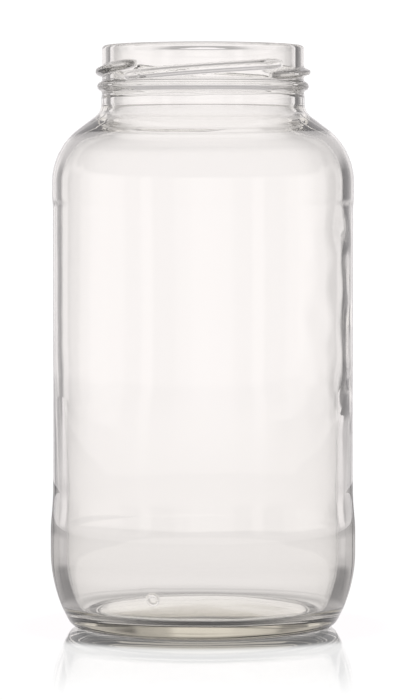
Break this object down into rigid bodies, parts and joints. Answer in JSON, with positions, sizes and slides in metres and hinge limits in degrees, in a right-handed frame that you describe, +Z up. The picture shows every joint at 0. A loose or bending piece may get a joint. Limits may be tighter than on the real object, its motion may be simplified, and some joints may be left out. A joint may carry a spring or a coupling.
{
  "type": "glass jar",
  "caption": "Clear round wide-mouth glass jar with slanting closure lugs, a rounded shoulder, a recessed label panel and a thick base with a push-up, for milk and other food.",
  "frame": {"origin": "centre of the bearing surface that the jar stands on", "axes": "+Z up along the jar's axis, out of the mouth; -Y is the front, with the small ring mark on the heel to its left; +X is to the right seen from the front"},
  "size_m": [0.098, 0.098, 0.187],
  "materials": {
    "clear_glass": "moulded flint glass, fire-polished, clear"
  },
  "bodies": {
    "root": {"sealing_lip": "clear_glass", "finish_wall": "clear_glass", "thread_lugs": "clear_glass", "transfer_bead": "clear_glass", "neck": "clear_glass", "shoulder": "clear_glass", "upper_contact_band": "clear_glass", "label_panel": "clear_glass", "heel_contact_band": "clear_glass", "heel": "clear_glass", "bearing_ring": "clear_glass", "base_plate": "clear_glass", "base_mark": "clear_glass"}
  },
  "joints": []
}
